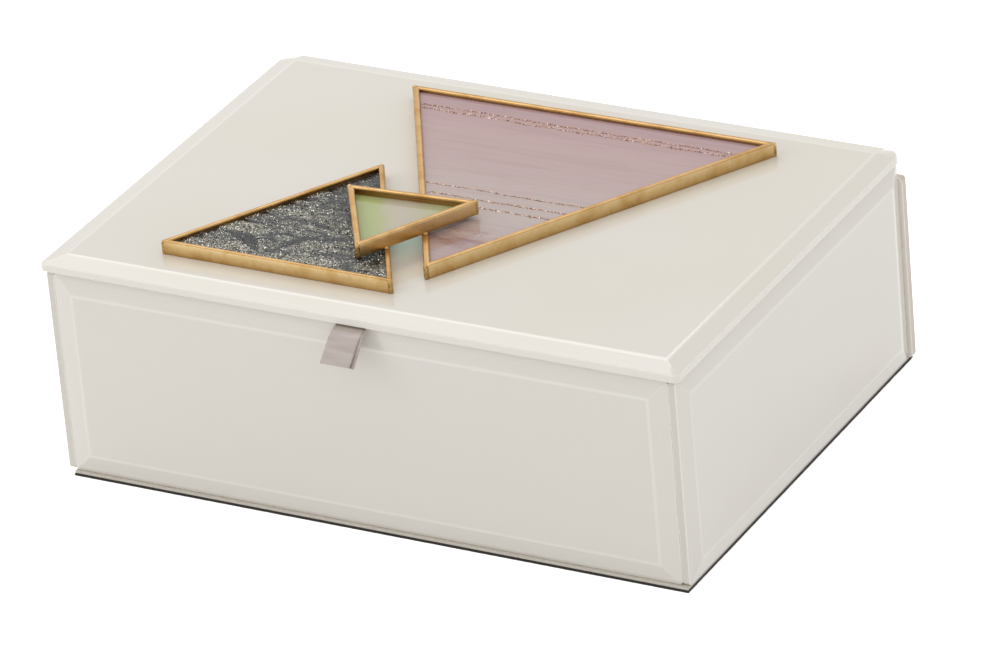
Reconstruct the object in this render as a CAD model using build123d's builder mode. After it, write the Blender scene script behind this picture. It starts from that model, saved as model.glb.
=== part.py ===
from build123d import *

import os
from math import asin, cos, radians, sin, tan

# A hinged jewellery box clad in bevelled, back-painted glass, with three soldered triangles on its lid.
# Millimetres, +Z up. The origin is the centre of the underside, the front faces -Y, and the box is shut.

# Overall size
box_width = 254.0            # across the faces of the side glass
box_depth = 184.0            # from the face of the front glass to the face of the back glass
glass_height = 79.9          # of the front and side glass
felt = 2.0                   # the felted base, which holds the glass off the table
felt_left_inset = 4.3
felt_right_inset = 1.7
felt_front_inset = 0.2
felt_back_inset = 1.2

# Glass
panel_glass = 4.5
back_glass = 4.9
lid_glass = 4.6
bevel_width = 7.5
bevel_drop = 1.63
panel_corner = 1.5
lid_front_corner = 2.0
lid_back_corner = 6.6

# Lid
lid_over_glass = 0.9         # slot between the lid's glass and the front glass, where the ribbon passes
lid_over_walls = 0.3
lid_board = 7.3
lid_board_gap = 0.6          # round the lid's board, inside the glass
lid_board_setback = 4.0      # from the back face to the board's back edge
lid_front_overhang = 0.4
lid_right_overhang = 0.6
lid_left_setback = 0.4
lid_back_setback = 3.6
lining = 3.0
lining_gap = 1.0

# Carcass and lining
base_board = 6.0
wall = 6.0
velvet = 1.5
velvet_below_rim = 0.5
floor_pad = 2.0

# Dividers and ring rolls
divider = 4.0
divider_height = 42.0
ring_divider_x = -38.0
back_divider_x = 38.0
cross_divider_y = 0.0
ring_rolls = 5
roll_gap = 0.4
roll_height = 27.0

# Hinges
hinge_length = 32.0
hinge_offset = 72.0          # from the middle of the box to the middle of each hinge
leaf = 0.8
leaf_reach = 8.5             # from the pin to the leaf's front edge
barrel_radius = 1.5
barrel_over_glass = 0.1
barrel_inside_back = 2.0     # from the back face to the pin
knuckles = 5
knuckle_gap = 0.15
leaf_gap = 0.2               # between a leaf and the other leaf's knuckles
pin_radius = 0.7
pin_fit = 0.05
pocket_gap = 0.4
screw_pitch = 16.0
screw_shank = 0.7
screw_head = 1.4
screw_depth = 3.6
screw_reach = 5.0            # from the pin to the screws

# Ribbon pull
ribbon_width = 12.7
ribbon = 0.3                 # one layer; the pull is folded double
ribbon_grip = 11.0           # glued length between the lid's board and glass
ribbon_overhang = 1.0        # straight on past the lid's edge before it turns down
ribbon_hang = 13.6
ribbon_droop = 42.0
ribbon_fold = 0.75           # radius of the folded end
ribbon_gap = 0.15

# Triangles: brass channel round each infill
came_width = 2.5
came_height = 5.2
came_lip = 1.2               # over the infill
came_sole = 0.8              # under the infill
came_groove = 1.1
came_edge = 0.35
came_tip = 1.6               # cut off each mitred corner, where the solder stands
infill_fit = 0.1

# Heights of the main planes
glass_top = felt + glass_height
lid_glass_z = glass_top + lid_over_glass
lid_top = lid_glass_z + lid_glass
lid_board_z = lid_glass_z - lid_board
rim = lid_board_z - lid_over_walls
wall_foot = felt + base_board
pad_top = wall_foot + floor_pad
velvet_top = rim - velvet_below_rim

# Faces in plan
front_face = -box_depth / 2
back_face = box_depth / 2
side_face = box_width / 2
front_inner = front_face + panel_glass
back_inner = back_face - back_glass
side_inner = side_face - panel_glass
side_front = front_face + bevel_drop      # the side glass stops level with the front glass's thin edge
room_front = front_inner + wall
room_back = back_inner - wall
room_side = side_inner - wall
lined_front = room_front + velvet
lined_back = room_back - velvet
lined_side = room_side - velvet

# Hinge line
pin_y = back_face - barrel_inside_back
pin_z = rim + barrel_over_glass + barrel_radius
lid_leaf_z = pin_z + barrel_radius - leaf
leaf_back = pin_y - barrel_radius - leaf_gap
leaf_front = pin_y - leaf_reach
screw_y = pin_y - screw_reach
knuckle = hinge_length / knuckles
hinge_sides = {"left": -hinge_offset, "right": hinge_offset}

# Each triangle: height of its underside, corners where its outer faces would meet, names of its strips
triangles = {
    "stone": (lid_top, [(-86.9, -73.8), (7.4, -73.8), (-40.2, 6.8)], ("front", "right", "left")),
    "mauve": (lid_top, [(88.1, 67.7), (-61.2, 67.3), (12.9, -60.9)], ("back", "left", "right")),
    "green": (
        lid_top + came_height,
        [(12.4, -17.3), (-39.3, -21.1), (-12.9, -63.2)],
        ("back", "left", "right"),
    ),
}


def save(piece, node):
    """Label a finished piece and write it."""
    piece.part.label = node
    export_step(piece.part, f"parts/{node}.step")


def slab(node, x, y, z):
    """A square-cut piece between two faces each way."""
    with BuildPart() as piece:
        with BuildSketch(Plane.XY.offset(z[0])):
            with Locations(((x[0] + x[1]) / 2, (y[0] + y[1]) / 2)):
                Rectangle(x[1] - x[0], y[1] - y[0])
        extrude(amount=z[1] - z[0])
    save(piece, node)


def bevelled_glass(node, back, width, height, thickness, lower_corner, upper_corner):
    """A sheet on its back plane: plain edges, then a wide bevel up to the flat face."""
    with BuildPart() as sheet:
        with BuildSketch(back):
            Rectangle(width, height)
        extrude(amount=thickness)
        face = sheet.faces().sort_by(Axis(back.origin, back.z_dir))[-1]
        chamfer(face.edges(), length=bevel_width, length2=bevel_drop, reference=face)
        with BuildSketch(back) as outline:
            Rectangle(width, height)
            fillet(outline.vertices().group_by(Axis.Y)[0], lower_corner)
            fillet(outline.vertices().group_by(Axis.Y)[-1], upper_corner)
        extrude(amount=thickness, mode=Mode.INTERSECT)
    save(sheet, node)


def hinge_screw_points(z):
    """The places of the two screws in each leaf, at one height."""
    return [
        (hinge_x + side * screw_pitch / 2, screw_y, z)
        for hinge_x in hinge_sides.values()
        for side in (-1, 1)
    ]


def hinge_leaf(node, hinge_x, leaf_z, screw_face, knuckle_numbers, bore):
    """One leaf of a butt hinge with its knuckles, bored for the pin, countersunk on screw_face."""
    with BuildPart() as piece:
        with BuildSketch(Plane.XY.offset(leaf_z)):
            with Locations((hinge_x, (leaf_front + leaf_back) / 2)):
                RectangleRounded(hinge_length, leaf_back - leaf_front, 0.6)
        extrude(amount=leaf)
        for number in knuckle_numbers:
            start = hinge_x - hinge_length / 2 + number * knuckle + knuckle_gap / 2
            with BuildSketch(Plane.YZ.offset(start)):
                with Locations((pin_y, pin_z)):
                    Circle(barrel_radius)
                with Locations(((leaf_back - leaf_gap + pin_y) / 2, leaf_z + leaf / 2)):
                    Rectangle(pin_y - leaf_back + leaf_gap, leaf)
            extrude(amount=knuckle - knuckle_gap)
        with BuildSketch(Plane.YZ.offset(hinge_x - hinge_length / 2)):
            with Locations((pin_y, pin_z)):
                Circle(bore)
        extrude(amount=hinge_length, mode=Mode.SUBTRACT)
        with Locations(
            Plane(
                origin=(hinge_x, screw_y, leaf_z + leaf if screw_face > 0 else leaf_z),
                z_dir=(0, 0, screw_face),
            )
        ):
            with GridLocations(screw_pitch, 1, 2, 1):
                CounterSinkHole(screw_shank, screw_head, leaf, counter_sink_angle=90)
    save(piece, node)


def hinge_screws(node, face_z, direction):
    """Four countersunk screws, two to each hinge, driven along direction from the leaves' faces."""
    head = screw_head - screw_shank
    with BuildPart() as piece:
        for point in hinge_screw_points(face_z):
            with BuildSketch(Plane(origin=point, z_dir=(0, 0, direction))):
                Circle(screw_shank)
            extrude(amount=leaf + screw_depth)
            with BuildSketch(Plane(origin=point, z_dir=(0, 0, direction))):
                Circle(screw_head)
            extrude(amount=head, taper=45)
    save(piece, node)


def heart_of(corners):
    """Centre and radius of the circle that touches a triangle's three sides."""
    a, b, c = corners
    opposite = ((c - b).length, (a - c).length, (b - a).length)
    around = sum(opposite)
    heart = (a * opposite[0] + b * opposite[1] + c * opposite[2]) * (1 / around)
    return heart, (b - a).cross(c - a).length / around


def inset(corners, depth):
    """Corners of the triangle whose sides lie inside the given one's by depth."""
    heart, radius = heart_of(corners)
    return [heart + (corner - heart) * (1 - depth / radius) for corner in corners]


def half_angle(corners, number):
    """Half the angle at one corner."""
    heart, radius = heart_of(corners)
    return asin(radius / (heart - corners[number]).length)


def tip_on_mitre(corners, number):
    """Where the square cut across a tip crosses the mitre line."""
    heart, _ = heart_of(corners)
    return corners[number] + (heart - corners[number]).normalized() * came_tip


def tip_on_side(corners, number, towards):
    """Where the square cut across a tip meets the side that runs to another corner."""
    way = (corners[towards] - corners[number]).normalized()
    return corners[number] + way * (came_tip / cos(half_angle(corners, number)))


def came_strip(node, corners, number, base):
    """One straight length of brass channel, mitred to its neighbours, with its groove for the infill."""
    end = (number + 1) % 3
    inside = inset(corners, came_width)
    inside_length = (inside[end] - inside[number]).length
    with BuildPart() as strip:
        with BuildSketch(Plane.XY.offset(base)):
            Polygon(
                tip_on_side(corners, number, end),
                tip_on_side(corners, end, number),
                tip_on_mitre(corners, end),
                inside[end],
                inside[number],
                tip_on_mitre(corners, number),
                align=None,
            )
        extrude(amount=came_height)
        fillet(strip.edges().filter_by(lambda edge: edge.length > inside_length - 1), came_edge)
        with BuildSketch(Plane.XY.offset(base + came_sole)):
            Polygon(*inset(corners, came_width - came_groove), align=None)
        extrude(amount=came_height - came_sole - came_lip, mode=Mode.SUBTRACT)
    save(strip, node)


def came_triangle(name, base, corners, strips):
    """A triangle of infill in three channels, with a bead of solder standing at each corner."""
    for number, where in enumerate(strips):
        came_strip(f"{name}_came_{where}", corners, number, base)
    with BuildPart() as infill:
        with BuildSketch(Plane.XY.offset(base + came_sole)):
            Polygon(*inset(corners, came_width - came_groove + infill_fit), align=None)
        extrude(amount=came_height - came_sole - came_lip)
    save(infill, f"{name}_infill")
    with BuildPart() as solder:
        with BuildSketch(Plane.XY.offset(base)):
            for number in range(3):
                with Locations(tip_on_mitre(corners, number)):
                    Circle(came_tip * tan(half_angle(corners, number)))
            trimmed = [
                tip_on_side(corners, number, (number + step) % 3) for number in range(3) for step in (2, 1)
            ]
            Polygon(*trimmed, align=None, mode=Mode.SUBTRACT)
        extrude(amount=came_height)
    save(solder, f"{name}_solder")


os.makedirs("parts", exist_ok=True)

# Felt, base and walls
slab(
    "base_felt",
    (felt_left_inset - side_face, side_face - felt_right_inset),
    (front_face + felt_front_inset, back_face - felt_back_inset),
    (0, felt),
)
slab("base_board", (-side_inner, side_inner), (front_inner, back_inner), (felt, wall_foot))
slab("front_wall", (-side_inner, side_inner), (front_inner, room_front), (wall_foot, rim))
slab("left_wall", (-side_inner, -room_side), (room_front, room_back), (wall_foot, rim))
slab("right_wall", (room_side, side_inner), (room_front, room_back), (wall_foot, rim))

with BuildPart() as back_wall:
    with BuildSketch(Plane.XY.offset(wall_foot)):
        with Locations((0, (room_back + back_inner) / 2)):
            Rectangle(2 * side_inner, back_inner - room_back)
    extrude(amount=rim - wall_foot)
    with Locations(*hinge_screw_points(rim)):
        Hole(screw_shank, screw_depth)
save(back_wall, "back_wall")

# Glass cladding
glass_mid = felt + glass_height / 2
side_length = back_inner - side_front
side_mid = (back_inner + side_front) / 2
bevelled_glass(
    "front_glass",
    Plane(origin=(0, front_inner, glass_mid), x_dir=(1, 0, 0), z_dir=(0, -1, 0)),
    2 * side_inner, glass_height, panel_glass, panel_corner, panel_corner,
)
bevelled_glass(
    "back_glass",
    Plane(origin=(0, back_inner, (felt + rim) / 2), x_dir=(-1, 0, 0), z_dir=(0, 1, 0)),
    box_width, rim - felt, back_glass, panel_corner, panel_corner,
)
for node, way in (("left_glass", -1), ("right_glass", 1)):
    bevelled_glass(
        node,
        Plane(origin=(way * side_inner, side_mid, glass_mid), x_dir=(0, way, 0), z_dir=(way, 0, 0)),
        side_length, glass_height, panel_glass, panel_corner, panel_corner,
    )

# Velvet lining, floor pad and dividers
slab("floor_pad", (-room_side, room_side), (room_front, room_back), (wall_foot, pad_top))
slab("front_liner", (-room_side, room_side), (room_front, lined_front), (pad_top, velvet_top))
slab("back_liner", (-room_side, room_side), (lined_back, room_back), (pad_top, velvet_top))
slab("left_liner", (-room_side, -lined_side), (lined_front, lined_back), (pad_top, velvet_top))
slab("right_liner", (lined_side, room_side), (lined_front, lined_back), (pad_top, velvet_top))

divider_top = pad_top + divider_height
cross_front = cross_divider_y - divider / 2
cross_back = cross_divider_y + divider / 2
slab("cross_divider", (-lined_side, lined_side), (cross_front, cross_back), (pad_top, divider_top))
slab(
    "ring_divider",
    (ring_divider_x - divider / 2, ring_divider_x + divider / 2),
    (lined_front, cross_front),
    (pad_top, divider_top),
)
slab(
    "back_divider",
    (back_divider_x - divider / 2, back_divider_x + divider / 2),
    (cross_back, lined_back),
    (pad_top, divider_top),
)

roll_pitch = (cross_front - lined_front) / ring_rolls
roll_length = ring_divider_x - divider / 2 + lined_side - 2 * roll_gap
for number in range(ring_rolls):
    roll_y = lined_front + (number + 0.5) * roll_pitch
    roll_radius = (roll_pitch - roll_gap) / 2
    with BuildPart() as ring_roll:
        with BuildSketch(Plane.YZ.offset(roll_gap - lined_side)):
            with Locations((roll_y, pad_top + (roll_height - roll_radius) / 2)):
                Rectangle(2 * roll_radius, roll_height - roll_radius)
            with Locations((roll_y, pad_top + roll_height - roll_radius)):
                Circle(roll_radius)
        extrude(amount=roll_length)
    save(ring_roll, f"ring_roll_{number + 1}")

# Hinges
for where, hinge_x in hinge_sides.items():
    hinge_leaf(f"{where}_hinge_box_leaf", hinge_x, rim, 1, range(0, knuckles, 2), pin_radius)
    hinge_leaf(f"{where}_hinge_lid_leaf", hinge_x, lid_leaf_z, -1, range(1, knuckles, 2), pin_radius + pin_fit)
    with BuildPart() as hinge_pin:
        with BuildSketch(Plane.YZ.offset(hinge_x - hinge_length / 2)):
            with Locations((pin_y, pin_z)):
                Circle(pin_radius)
        extrude(amount=hinge_length)
    save(hinge_pin, f"{where}_hinge_pin")
hinge_screws("box_hinge_screws", rim + leaf, -1)
hinge_screws("lid_hinge_screws", lid_leaf_z, 1)

# Lid: glass, board with its hinge pockets and ribbon recess, padded lining
lid_front = front_face - lid_front_overhang
lid_back = back_face - lid_back_setback
lid_left = lid_left_setback - side_face
lid_right = side_face + lid_right_overhang
bevelled_glass(
    "lid_glass",
    Plane(origin=((lid_left + lid_right) / 2, (lid_front + lid_back) / 2, lid_glass_z)),
    lid_right - lid_left, lid_back - lid_front, lid_glass, lid_front_corner, lid_back_corner,
)

board_front = front_inner + lid_board_gap
board_back = back_face - lid_board_setback
board_half = side_inner - lid_board_gap
pocket_front = leaf_front - pocket_gap
pocket_top = lid_leaf_z + leaf
recess_back = board_front + ribbon_grip + ribbon_gap
with BuildPart() as board:
    with BuildSketch(Plane.XY.offset(lid_board_z)):
        with Locations((0, (board_front + board_back) / 2)):
            Rectangle(2 * board_half, board_back - board_front)
    extrude(amount=lid_board)
    with BuildSketch(Plane.XY.offset(lid_board_z)):
        for hinge_x in hinge_sides.values():
            with Locations((hinge_x, (pocket_front + board_back) / 2)):
                Rectangle(hinge_length + 2 * pocket_gap, board_back - pocket_front)
    extrude(amount=pocket_top - lid_board_z, mode=Mode.SUBTRACT)
    with BuildSketch(Plane.XY.offset(lid_glass_z - 2 * ribbon)):
        with Locations((0, (board_front + recess_back) / 2)):
            Rectangle(ribbon_width + 2 * ribbon_gap, recess_back - board_front)
    extrude(amount=2 * ribbon, mode=Mode.SUBTRACT)
    for point in hinge_screw_points(pocket_top):
        with BuildSketch(Plane(origin=point)):
            Circle(screw_shank)
        extrude(amount=screw_depth, mode=Mode.SUBTRACT)
save(board, "lid_board")

slab(
    "lid_lining",
    (lining_gap - lined_side, lined_side - lining_gap),
    (lined_front + lining_gap, lined_back - lining_gap),
    (lid_board_z - lining, lid_board_z),
)

# Ribbon pull: glued under the lid's glass, out through the slot, then down to its folded end
ribbon_z = lid_glass_z - ribbon
ribbon_start = board_front + ribbon_grip
ribbon_turn = lid_front - ribbon_overhang
ribbon_end = (
    ribbon_turn - ribbon_hang * cos(radians(ribbon_droop)),
    ribbon_z - ribbon_hang * sin(radians(ribbon_droop)),
)
with BuildPart() as ribbon_pull:
    with BuildSketch(Plane.YZ.offset(-ribbon_width / 2)):
        with BuildLine():
            FilletPolyline((ribbon_start, ribbon_z), (ribbon_turn, ribbon_z), ribbon_end, radius=2.0)
        trace(line_width=2 * ribbon)
        with Locations(ribbon_end):
            Circle(ribbon_fold)
    extrude(amount=ribbon_width)
save(ribbon_pull, "ribbon_pull")

# Triangles
for name, (base, points, strips) in triangles.items():
    came_triangle(name, base, [Vector(*point) for point in points], strips)
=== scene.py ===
import math
import random

import bmesh
import bpy
from mathutils import Euler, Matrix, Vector, noise


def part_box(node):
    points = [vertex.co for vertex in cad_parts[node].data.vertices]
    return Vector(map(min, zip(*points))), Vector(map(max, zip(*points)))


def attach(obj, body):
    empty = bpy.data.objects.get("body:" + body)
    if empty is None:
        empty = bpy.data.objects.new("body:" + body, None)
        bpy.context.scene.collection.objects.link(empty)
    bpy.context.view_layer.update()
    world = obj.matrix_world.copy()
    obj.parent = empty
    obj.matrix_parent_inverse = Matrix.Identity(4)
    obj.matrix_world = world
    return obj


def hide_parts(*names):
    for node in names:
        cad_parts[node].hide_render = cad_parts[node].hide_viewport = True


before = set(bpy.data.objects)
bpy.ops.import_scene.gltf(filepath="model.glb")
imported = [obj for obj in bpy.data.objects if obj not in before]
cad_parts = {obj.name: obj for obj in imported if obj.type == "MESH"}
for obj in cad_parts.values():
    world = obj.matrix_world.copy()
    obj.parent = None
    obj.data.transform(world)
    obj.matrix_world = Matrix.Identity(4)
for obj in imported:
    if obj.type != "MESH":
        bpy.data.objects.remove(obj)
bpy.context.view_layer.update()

# Looks of the bevelled-glass jewellery box: back-painted glass, soldered brass triangles, ribbon and velvet.
# Metres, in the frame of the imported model: origin under the middle of the box, front towards -Y.

MM = 0.001

# Glass cutting
BEVEL = 7.5 * MM
BEVEL_DROP = 1.63 * MM       # how much thinner a sheet is at its edge
ARRIS = 0.35 * MM            # rounding left by the polishing wheel on every cut
PANEL_CORNER = 1.5 * MM
LID_FRONT_CORNER = 2.0 * MM
LID_BACK_CORNER = 6.6 * MM
ROUND_STEPS = 5
# The pale line along a bevel is a painted highlight.
BEVEL_HIGHLIGHT_REACH = 1.0 * MM        # half the width of the pale line along a bevel

# Painted light and shade on each bevel facet, as a factor on the paint's colour: a painted highlight at a mitred
# corner, and lighter or darker at the right, upper, left and lower side of a sheet as light falls on it
MITRE_PAINTED_HIGHLIGHT = 1.05
WALL_PAINTED_LIGHT = (1.02, 0.985, 1.02, 0.975)
LID_PAINTED_LIGHT = (1.0, 0.99, 1.01, 0.985)

# Brass channel
CAME_WIDTH = 2.5 * MM
CAME_FLANGE = {"stone": 1.95 * MM, "mauve": 2.45 * MM, "green": 2.4 * MM}   # width of the top
CAME_HEIGHT = 5.2 * MM
CAME_LIP = 1.2 * MM          # from the top down to the sheet that it holds
CAME_SOLE = 0.8 * MM
CAME_TIP = 1.6 * MM          # cut off each sharp corner, where the solder stands
CAME_SEAM = 0.05 * MM        # hairline left open at each mitre
CAME_STATION = 3.0 * MM      # how closely a strip is divided along its length

lid_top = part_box("lid_glass")[1].z
TRIANGLES = {
    "stone": (lid_top, [(-86.9, -73.8), (7.4, -73.8), (-40.2, 6.8)], ("front", "right", "left")),
    "mauve": (lid_top, [(88.1, 67.7), (-61.2, 67.3), (12.9, -60.9)], ("back", "left", "right")),
    "green": (
        lid_top + CAME_HEIGHT,
        [(12.4, -17.3), (-39.3, -21.1), (-12.9, -63.2)],
        ("back", "left", "right"),
    ),
}

# How far the coloured face shows below the channel's lip
SUNK = {"stone": 0.3 * MM, "mauve": 0.1 * MM, "green": 1.5 * MM}
GREEN_DRIFT = Vector((0.90, 0.44))   # the way the green glass's colours change
CHIP_COUNT = 5200

# Dark shards in the stone: middle (mm), half sizes (mm), lean (radians), how dark
STONE_SHARDS = [
    ((-60.0, -59.0), (8.5, 3.0), -0.52, 0.80),
    ((-42.0, -55.5), (6.8, 2.1), 0.93, 0.80),
    ((-65.0, -46.6), (7.0, 1.1), 0.0, 0.60),
    ((-44.0, -41.0), (10.0, 1.8), -0.15, 0.45),
    ((-39.0, -22.0), (5.0, 2.0), 1.3, 0.35),
    ((-22.0, -60.0), (7.5, 1.8), 0.10, 0.40),
    ((-6.0, -64.0), (2.6, 5.0), 0.35, 0.15),
    ((-30.0, -30.0), (9.0, 1.6), 0.12, 0.35),
    ((-30.0, -50.0), (9.0, 1.3), 0.30, 0.40),
]

# Copper lines in the mauve glass: how far behind the front point (mm), thickness (mm), share of flakes
COPPER_LINES = [
    (117.4, 0.8, 1.0), (114.8, 0.9, 1.0),
    (61.5, 0.5, 0.9), (55.0, 0.8, 1.0), (49.6, 0.9, 1.0), (30.6, 0.4, 0.35),
]

# Ribbon
RIBBON_CLOTH = 0.27 * MM
RIBBON_GAP = 0.03 * MM       # between its two layers under the lid
RIBBON_DROP = 0.31 * MM      # from the lid's glass down to the middle of the two layers
RIBBON_FOLD = 0.62 * MM      # outer radius of the fold at its foot
RIBBON_COLUMNS = 14

# Velvet
HEM = 4.0 * MM               # from a liner's top edge to its sewn line
LINING_BORDER = 9.0 * MM     # from the lining's edge to its sewn line
RING_ROLLS = 5

# Light: the lamps in watts, the others as shares of plain white
BACK_BOX = 8.0
LEFT_BOX = 4.8
RIGHT_BOX = 0.8
ROOM_LIGHT = 0.84
FLOOR_GLOW = 0.62


# ---------------------------------------------------------------- shared helpers

def linear(code):
    """An sRGB hex colour as linear RGBA."""
    parts = [int(code[place:place + 2], 16) / 255 for place in (1, 3, 5)]
    return [c / 12.92 if c <= 0.04045 else ((c + 0.055) / 1.055) ** 2.4 for c in parts] + [1.0]


def add(nodes, kind, sockets=None, **settings):
    """Adds one node; sockets are values, or outputs to link from, by input name or number."""
    node = nodes.new(kind)
    for name, value in settings.items():
        setattr(node, name, value)
    for name, value in (sockets or {}).items():
        if isinstance(value, bpy.types.NodeSocket):
            nodes.id_data.links.new(value, node.inputs[name])
        else:
            node.inputs[name].default_value = value
    return node


def start_material(name, **uniform):
    """A material with its shader's uniform sockets set; gives the material, its nodes and the shader."""
    made = bpy.data.materials.new(name)
    made.use_nodes = True
    nodes = made.node_tree.nodes
    nodes.clear()
    shader = add(nodes, "ShaderNodeBsdfPrincipled", uniform)
    add(nodes, "ShaderNodeOutputMaterial", {"Surface": shader.outputs[0]})
    return made, nodes, shader


def feed(nodes, shader, socket, output):
    """Links an output to a socket of the shader."""
    nodes.id_data.links.new(output, shader.inputs[socket])


def attribute(nodes, name):
    """A value that the mesh carries, by name."""
    return add(nodes, "ShaderNodeAttribute", attribute_name=name).outputs["Fac"]


def cut_place(nodes):
    """A piece's own flat place, in metres, and its parts: X along the piece, Y in from its edge."""
    place = add(nodes, "ShaderNodeUVMap", uv_map="cut").outputs[0]
    return place, add(nodes, "ShaderNodeSeparateXYZ", {"Vector": place}).outputs


def drawn_noise(nodes, place, scale, detail):
    """Noise stretched into lines, scaled along each axis of a place in metres."""
    lines = add(nodes, "ShaderNodeMapping", {"Vector": place, "Scale": scale}).outputs[0]
    return add(nodes, "ShaderNodeTexNoise", {"Vector": lines, "Scale": 1.0, "Detail": detail}).outputs["Fac"]


def clamped_sum(nodes, first, second):
    """The sum of two values, kept from 0 to 1."""
    return add(nodes, "ShaderNodeMath", {0: first, 1: second}, operation="ADD", use_clamp=True).outputs[0]


def seen_straight(nodes, rays):
    """1 where the eye sees a surface directly or in a mirror, else 0."""
    return maths(nodes, "ADD", rays.outputs["Is Camera Ray"], rays.outputs["Is Glossy Ray"])


def show(nodes, surface):
    """Makes this the material's surface in place of its plain shader."""
    output = next(node for node in nodes if node.type == "OUTPUT_MATERIAL")
    nodes.id_data.links.new(surface, output.inputs["Surface"])


def place_mm(nodes, stretch=(1, 1, 1)):
    """The surface's own place in millimetres, divided by stretch along each axis."""
    place = add(nodes, "ShaderNodeTexCoord").outputs["Object"]
    scale = [1000 / way for way in stretch]
    return add(nodes, "ShaderNodeMapping", {"Vector": place, "Scale": scale}).outputs[0]


def grain(nodes, place, size, detail=2.0, roughness=0.5):
    """Cloudy noise whose lumps are about size millimetres across."""
    sockets = {"Vector": place, "Scale": 1 / size, "Detail": detail, "Roughness": roughness}
    return add(nodes, "ShaderNodeTexNoise", sockets).outputs["Fac"]


def tones(nodes, factor, stops):
    """A colour ramp from (place, hex) pairs."""
    ramp = add(nodes, "ShaderNodeValToRGB", {"Fac": factor})
    while len(ramp.color_ramp.elements) < len(stops):
        ramp.color_ramp.elements.new(0.5)
    for element, (place, code) in zip(ramp.color_ramp.elements, stops):
        element.position = place
        element.color = linear(code)
    return ramp.outputs["Color"]


def between(nodes, factor, low, high):
    """Maps a factor from 0..1 to low..high."""
    sockets = {"Value": factor, "To Min": low, "To Max": high}
    return add(nodes, "ShaderNodeMapRange", sockets).outputs[0]


def blend_colours(nodes, factor, first, second, way="MIX"):
    """Mixes two colours, given as outputs or linear values."""
    mixed = add(nodes, "ShaderNodeMix", data_type="RGBA", blend_type=way)
    for socket, value in zip((mixed.inputs[0], mixed.inputs[6], mixed.inputs[7]), (factor, first, second)):
        if isinstance(value, bpy.types.NodeSocket):
            nodes.id_data.links.new(value, socket)
        else:
            socket.default_value = value
    return mixed.outputs[2]


def bumps(nodes, height, depth_mm, under=None):
    """Relief of a real depth in millimetres."""
    sockets = {"Height": height, "Distance": depth_mm * MM, "Strength": 1.0}
    if under:
        sockets["Normal"] = under
    return add(nodes, "ShaderNodeBump", sockets).outputs[0]


def maths(nodes, operation, first, second=0.0):
    """One sum on two values."""
    return add(nodes, "ShaderNodeMath", {0: first, 1: second}, operation=operation).outputs[0]


def piece(name, mesh, body, materials, stands_for=()):
    """Puts a finished mesh in the scene, on its body, in place of its CAD nodes."""
    made = bpy.data.objects.new(name, mesh)
    bpy.context.scene.collection.objects.link(made)
    for each in materials:
        mesh.materials.append(each)
    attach(made, body)
    if stands_for:
        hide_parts(*stands_for)
    return made


def mesh_from(name, points, faces, smooth=True):
    """A mesh from points and faces, each face being (corners, material number, smooth or None)."""
    mesh = bpy.data.meshes.new(name)
    mesh.from_pydata(points, [], [face[0] for face in faces])
    for polygon, face in zip(mesh.polygons, faces):
        polygon.material_index = face[1] if len(face) > 1 else 0
        polygon.use_smooth = face[2] if len(face) > 2 else smooth
    mesh.update()
    return mesh


def band(first, second, count, outwards=True, finish=0, smooth=True):
    """The faces between two rings of points, given the number of each ring's first point."""
    found = []
    for spot in range(count):
        after = (spot + 1) % count
        if outwards:
            corner = (first + spot, first + after, second + after, second + spot)
        else:
            corner = (first + spot, second + spot, second + after, first + after)
        found.append((corner, finish, smooth))
    return found


def lay_flat(mesh, places):
    """Gives every point of a mesh its own flat place."""
    layer = mesh.uv_layers.new(name="cut")
    for loop in mesh.loops:
        layer.data[loop.index].uv = places[loop.vertex_index]


def mark(mesh, name, values, part="POINT"):
    """Writes one value per point or face on a mesh, for its material to read."""
    mesh.attributes.new(name, "FLOAT", part).data.foreach_set("value", values)


def tidy(mesh, merge=0.002 * MM):
    """Welds doubled points and turns every face outwards."""
    work = bmesh.new()
    work.from_mesh(mesh)
    bmesh.ops.remove_doubles(work, verts=work.verts, dist=merge)
    bmesh.ops.recalc_face_normals(work, faces=work.faces)
    work.to_mesh(mesh)
    work.free()
    return mesh


# ---------------------------------------------------------------- materials

def cut_lines(nodes, paint):
    """Adds what the cut does to the paint: painted light and shade on each facet, and a painted highlight in the pale
    soft line where bevel meets face.
    """
    facet = attribute(nodes, "facet")
    shade = add(nodes, "ShaderNodeCombineColor", {0: facet, 1: facet, 2: facet}).outputs[0]
    paint = blend_colours(nodes, 1.0, paint, shade, "MULTIPLY")
    cut, parts = cut_place(nodes)
    inset = parts["Y"]
    aside = maths(nodes, "ABSOLUTE", maths(nodes, "SUBTRACT", inset, BEVEL))
    # Painted highlight: a soft pale line along where the bevel meets the face.
    sockets = {"Value": aside, "From Min": 0.2 * MM, "From Max": BEVEL_HIGHLIGHT_REACH, "To Min": 0.42, "To Max": 0.0}
    line = add(nodes, "ShaderNodeMapRange", sockets, interpolation_type="SMOOTHSTEP").outputs[0]
    ground = drawn_noise(nodes, cut, (6, 700, 1), 1.0)
    on_bevel = add(nodes, "ShaderNodeMapRange", {"Value": inset, "From Min": BEVEL, "From Max": BEVEL - 0.5 * MM})
    polish = maths(nodes, "MULTIPLY", between(nodes, ground, -0.12, 0.16), on_bevel.outputs[0])
    return blend_colours(nodes, clamped_sum(nodes, line, polish), paint, linear("#EFECE5"))


def painted_glass(name, warm, cool, rolled):
    """Float glass painted off-white on its back: milky and even, with a polished face that mirrors softly."""
    made, nodes, shader = start_material(name, Roughness=0.07, IOR=1.5)
    cloud = grain(nodes, place_mm(nodes), 70, detail=1.0)
    feed(nodes, shader, "Base Color", cut_lines(nodes, tones(nodes, cloud, [(0.3, warm), (0.7, cool)])))
    roll = grain(nodes, place_mm(nodes, rolled), 45, detail=0.5)
    feed(nodes, shader, "Normal", bumps(nodes, roll, 0.03))
    smear = grain(nodes, place_mm(nodes), 22, detail=3.0)
    feed(nodes, shader, "Roughness", between(nodes, smear, 0.05, 0.13))
    return made


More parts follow.
